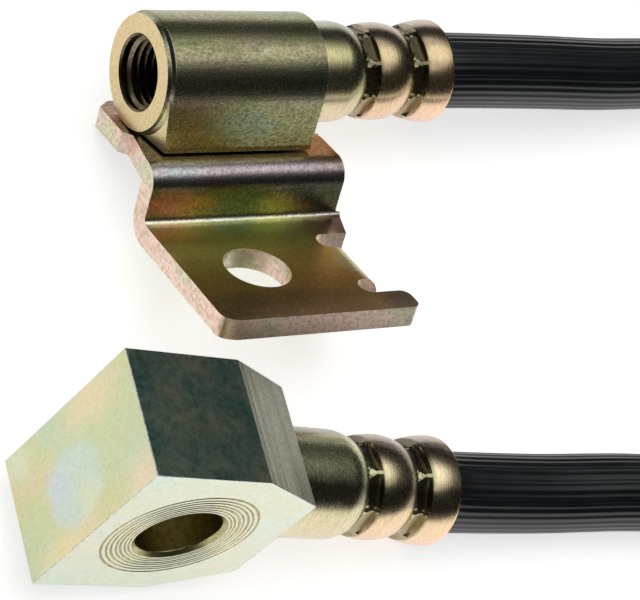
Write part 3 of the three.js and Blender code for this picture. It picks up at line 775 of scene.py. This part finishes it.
def makeBracket():
    piece = copyOf("inlet_bracket", "inletBracket", inletEnd)
    form = bracket
    activate(piece)
    bpy.ops.object.mode_set(mode="EDIT")
    pick(piece, "verts", lambda v: v.co.x > form["stepX"] * mm and v.co.z > form["stepZ"] * mm)
    bpy.ops.transform.translate(value=(form["stepMove"] * mm, 0, 0))
    low, high = form["reliefX"]
    pick(piece, "verts", lambda v: low * mm < v.co.x < high * mm and v.co.y > form["reliefY"] * mm
         and v.co.z < form["reliefZ"] * mm)
    bpy.ops.transform.translate(value=(form["reliefMove"] * mm, 0, 0))
    pick(piece, "edges", lambda e: (e.verts[0].co - e.verts[1].co).xy.length < 0.01 * mm
         and e.verts[0].co.y < form["cornerY"] * mm and e.verts[0].co.x < form["cornerX"] * mm)
    bpy.ops.mesh.bevel(offset=form["corner"] * mm, segments=form["cornerSteps"])
    bpy.ops.object.mode_set(mode="OBJECT")
    coat(piece, inletEnd, [("flangePlating", flangeLook), ("webPlating", webLook),
                           ("shearedEdgePlating", shearLook)])
    bpy.ops.mesh.primitive_cylinder_add(vertices=form["boltSides"], radius=form["boltRadius"] * mm,
                                        depth=form["boltDepth"] * mm, location=Vector(form["bolt"]) * mm)
    cut(piece, bpy.context.object)
    mergeFlats(piece)
    paint(piece, 1, lambda c, n: c.z > form["flangeTop"])
    paint(piece, 2, lambda c, n: abs(n.z) < 0.3 and (
        abs(n.x) > 0.5 or not form["webNear"] < c.y < form["webFar"]))
    roundEdges(piece, form["edge"], -1, form["edgeSteps"])
    smooth(piece, 40, flats=90)
    finishPiece(piece, inletEnd, "plated_sheet", "inlet_bracket")


makeBracket()

# Banjo block: milled bar with bored, grooved seats
block = {
    "edge": 0.4, "half": 7.85, "square": 15.4, "boreX": 11.75, "boreRim": 5.85,
    "ringDepth": 0.2, "ringStart": 5.65, "ringReach": 9.6, "cutterLift": 0.02, "cutterTop": 0.5,
    "rings": [(5.95, 0.28), (6.38, 0.26), (6.9, 0.36), (7.38, 0.28), (7.95, 0.34), (8.5, 0.28),
              (9.15, 0.34)],  # radius and width of each groove
}
blockLook = {
    "hueScale": 62,
    "tones": [(0.26, (0.56, 0.7, 0.56)), (0.4, (0.6, 0.68, 0.45)), (0.54, (0.66, 0.67, 0.38)),
              (0.66, (0.73, 0.64, 0.4)), (0.8, (0.58, 0.68, 0.45))],
    "spots": [
        {"at": (0, 6, 5), "size": (3, 5, 9), "tint": (0.92, 0.72, 0.5), "share": 0.6, "edge": 1.0},
        {"at": (0, -7.5, -5), "size": (3, 4, 11), "tint": (0.88, 0.74, 0.44), "share": 0.7, "edge": 1.0},
        {"at": (0, -7, 11), "size": (3, 5, 6), "tint": (0.9, 0.7, 0.5), "share": 0.7, "edge": 1.0},
        {"at": (0, 6.5, -11), "size": (3, 4, 4), "tint": (0.7, 0.8, 0.6), "share": 0.7, "edge": 1.0},
        {"at": (0, -1.6, -1.2), "size": (3, 5.4, 6.4), "tint": (0.62, 0.74, 0.68), "share": 0.7,
         "edge": 0.36},
        {"at": (0, -0.3, -4), "size": (3, 5, 3.6), "tint": (0.62, 0.66, 0.78), "share": 0.6, "edge": 1.0},
        {"at": (0, -4, 1), "size": (3, 3.4, 3.4), "tint": (0.74, 0.78, 0.5), "share": 0.7, "edge": 1.0},
    ],
    "grainScale": 2100, "grainTint": (0.92, 0.92, 0.86), "glint": 0.08,
    "lineStretch": (900, 900, 900), "lineDepth": 0.08, "lineRelief": 0.4, "roughness": 0.34, "bump": 0.14,
}
# the seat faces get a paler copy of the block's plating: painted light, for the floor in the block's shadow
# that they reflect
seatPaintedLightLook = {
    "hueScale": 60,
    "tones": [(0.3, (0.7, 0.85, 0.77)), (0.45, (0.79, 0.84, 0.68)), (0.6, (0.83, 0.82, 0.66)),
              (0.75, (0.74, 0.85, 0.74))],
    "grainScale": 2100, "grainTint": (0.94, 0.93, 0.88), "glint": 0.05,
    "lineStretch": (900, 900, 900), "lineDepth": 0.05, "lineRelief": 0.3, "roughness": 0.36, "bump": 0.1,
}
topLook = {
    "hueScale": 110,
    "tones": [(0.32, (0.2, 0.38, 0.31)), (0.45, (0.38, 0.5, 0.37)), (0.58, (0.52, 0.53, 0.37)),
              (0.7, (0.4, 0.5, 0.34))],
    "grainScale": 1400, "grainTint": (0.45, 0.47, 0.41), "glint": 0.5, "glintTint": (0.74, 0.78, 0.74),
    "lineStretch": (900, 900, 900), "lineDepth": 0.35, "lineRelief": 0.5, "roughness": 0.3, "bump": 0.25,
}
milledLook = {
    "hueScale": 120,
    "tones": [(0.3, (0.41, 0.42, 0.3)), (0.6, (0.46, 0.45, 0.33))],
    "bands": [{"along": (1, 0, 0), "from": 15.2, "to": 25.3, "waver": 0.02, "kind": "MULTIPLY", "stops": [
        (0.0, (0.45, 0.47, 0.42)), (0.05, (0.8, 0.82, 0.75)), (0.1, (0.6, 0.6, 0.55)),
        (0.15, (1.15, 1.15, 1.1)), (0.24, (0.85, 0.85, 0.8)), (0.32, (1.1, 1.1, 1.05)),
        (1.0, (0.95, 0.95, 0.9))]}],
    "grainScale": 2400, "grainTint": (0.75, 0.73, 0.68), "glint": 0.15,
    "lineStretch": (3400, 30, 3400), "lineDepth": 0.7, "lineRelief": 3.0, "roughness": 0.36, "bump": 0.6,
}
ringLook = {
    "hueScale": 200,
    "tones": [(0.3, (0.42, 0.38, 0.18)), (0.6, (0.58, 0.52, 0.27))],
    "grainScale": 1500, "grainTint": (0.7, 0.6, 0.4), "glint": 0.2,
    "lineStretch": (900, 900, 900), "lineDepth": 0.2, "lineRelief": 0.5, "roughness": 0.32, "bump": 0.15,
}


def ringCutter(name, side):  # a turned comb that cuts all the grooves of one seat
    top = block["half"] + block["cutterTop"]
    root = block["half"] + block["cutterLift"]
    comb = [(top, block["ringStart"]), (root, block["ringStart"])]
    for middle, width in block["rings"]:
        comb += [(root, middle - width / 2), (block["half"] - block["ringDepth"], middle),
                 (root, middle + width / 2)]
    comb += [(root, block["ringReach"]), (top, block["ringReach"]), comb[0]]
    cutter = turned(name, comb)
    turn = Matrix.Rotation(side * math.pi / 2, 4, "Z")
    cutter.data.transform(Matrix.Translation((block["boreX"] * mm, 0, 0)) @ turn)
    return cutter


def makeBlock():
    piece = copyOf("banjo_block", "banjoBlock", blockEnd)
    coat(piece, blockEnd, [("blockPlating", blockLook), ("blockEdgeShine", edgeWearAndShineLook),
                           ("blockTopPlating", topLook), ("blockMilledPlating", milledLook),
                           ("seatRingPlating", ringLook), ("seatFacePaintedLight", seatPaintedLightLook)])
    paint(piece, 2, lambda c, n: abs(n.z) > 0.95)
    paint(piece, 3, lambda c, n: n.x > 0.2 and abs(n.z) > 0.3 and c.x > block["square"])
    # the seat faces get the painted light
    paint(piece, 5, lambda c, n: abs(n.y) > 0.95)
    roundEdges(piece, block["edge"], 1)
    for name, side in (("frontRings", -1), ("backRings", 1)):
        cutter = ringCutter(name, side)
        for material in piece.data.materials:
            cutter.data.materials.append(material)
        for face in cutter.data.polygons:
            face.material_index = 4
        cut(piece, cutter)
    paint(piece, 4, lambda c, n: math.hypot(c.x - block["boreX"], c.z) < block["boreRim"]
          and abs(n.y) < 0.99)
    smooth(piece, flats=60)
    finishPiece(piece, blockEnd, "plated_block", "banjo_block")


makeBlock()

# The stems are hidden in the ferrules
stemLook = {
    "hueScale": 200, "tones": [(0.3, grey(0.5)), (0.7, grey(0.6))],
    "grainScale": 1500, "grainTint": (0.7, 0.7, 0.7), "glint": 0.2,
    "lineStretch": (4000, 300, 300), "lineDepth": 0.2, "lineRelief": 1.0, "roughness": 0.3, "bump": 0.2,
}
for node, end in (("inlet_stem", inletEnd), ("block_stem", blockEnd)):
    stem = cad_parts[node]
    stem.data.materials.clear()
    coat(stem, end, [(node.replace("_stem", "StemSteel"), stemLook)])
print("made the stems' finish")

# Studio: a pale table, a white sky, a dark curtain round it that the camera doesn't see, and one soft lamp
studio = {
    "tableSize": 6.0,
    "tableColour": 0.8,
    "tableGlow": 0.7,
    "curtainMiddle": (0.05, 0, 0.5),
    "curtainRadius": 1.4,
    "curtainSides": 64,
    "curtainLow": 0.1,
    "curtainHigh": 1.75,
    "curtainTilt": 24,
    "curtainShade": 0.028,
    "skyStrength": 1.0,
    "lampPlace": (0.5, 0.2, 1.3),
    "lampSize": 0.9,
    "lampPower": 1.6,
}


def addTable():
    bpy.ops.object.select_all(action="DESELECT")
    bpy.ops.mesh.primitive_plane_add(size=studio["tableSize"])
    table = bpy.context.object
    table.name = "table"
    material = bpy.data.materials.new("tableTop")
    material.use_nodes = True
    tree = material.node_tree
    tree.nodes.clear()
    spread = addNode(tree, "ShaderNodeBsdfDiffuse", {"Color": (*grey(studio["tableColour"]), 1)})
    rays = addNode(tree, "ShaderNodeLightPath")
    seen = rays.outputs["Is Camera Ray"]
    for kind in ("Is Glossy Ray", "Is Transmission Ray"):
        either = addNode(tree, "ShaderNodeMath", {0: seen, 1: rays.outputs[kind]}, operation="MAXIMUM")
        seen = either.outputs[0]
    power = addNode(tree, "ShaderNodeMath", {0: seen, 1: studio["tableGlow"]}, operation="MULTIPLY")
    glow = addNode(tree, "ShaderNodeEmission", {"Color": (1, 1, 1, 1), "Strength": power.outputs[0]})
    both = addNode(tree, "ShaderNodeAddShader", {0: spread.outputs[0], 1: glow.outputs[0]})
    output = addNode(tree, "ShaderNodeOutputMaterial")
    tree.links.new(both.outputs[0], output.inputs["Surface"])
    table.data.materials.append(material)


def addCurtain():
    middle = studio["curtainMiddle"]
    bpy.ops.mesh.primitive_cylinder_add(vertices=studio["curtainSides"], radius=studio["curtainRadius"],
                                        depth=1, end_fill_type="NOTHING", location=middle)
    curtain = bpy.context.object
    curtain.name = "curtain"
    bpy.ops.object.transform_apply(location=True)
    tilt = math.tan(math.radians(studio["curtainTilt"]))
    for vertex in curtain.data.vertices:
        high = vertex.co.z > middle[2]
        vertex.co.z = studio["curtainHigh"] - vertex.co.y * tilt if high else studio["curtainLow"]
    material = bpy.data.materials.new("curtainCloth")
    material.use_nodes = True
    shader = material.node_tree.nodes["Principled BSDF"]
    shader.inputs["Base Color"].default_value = (*grey(studio["curtainShade"]), 1)
    shader.inputs["Roughness"].default_value = 1.0
    curtain.data.materials.append(material)
    curtain.visible_camera = False


def addLight():
    world = bpy.data.worlds.new("sky")
    world.use_nodes = True
    world.node_tree.nodes["Background"].inputs["Color"].default_value = (1, 1, 1, 1)
    world.node_tree.nodes["Background"].inputs["Strength"].default_value = studio["skyStrength"]
    bpy.context.scene.world = world
    data = bpy.data.lights.new("softLamp", "AREA")
    data.shape = "DISK"
    data.size = studio["lampSize"]
    data.energy = studio["lampPower"]
    lamp = bpy.data.objects.new("softLamp", data)
    spot = Vector(studio["lampPlace"])
    lamp.matrix_world = Matrix.Translation(spot) @ spot.to_track_quat("Z", "Y").to_matrix().to_4x4()
    bpy.context.scene.collection.objects.link(lamp)


addTable()
addCurtain()
addLight()
bpy.context.scene.view_settings.view_transform = "Standard"
print("studio ready")
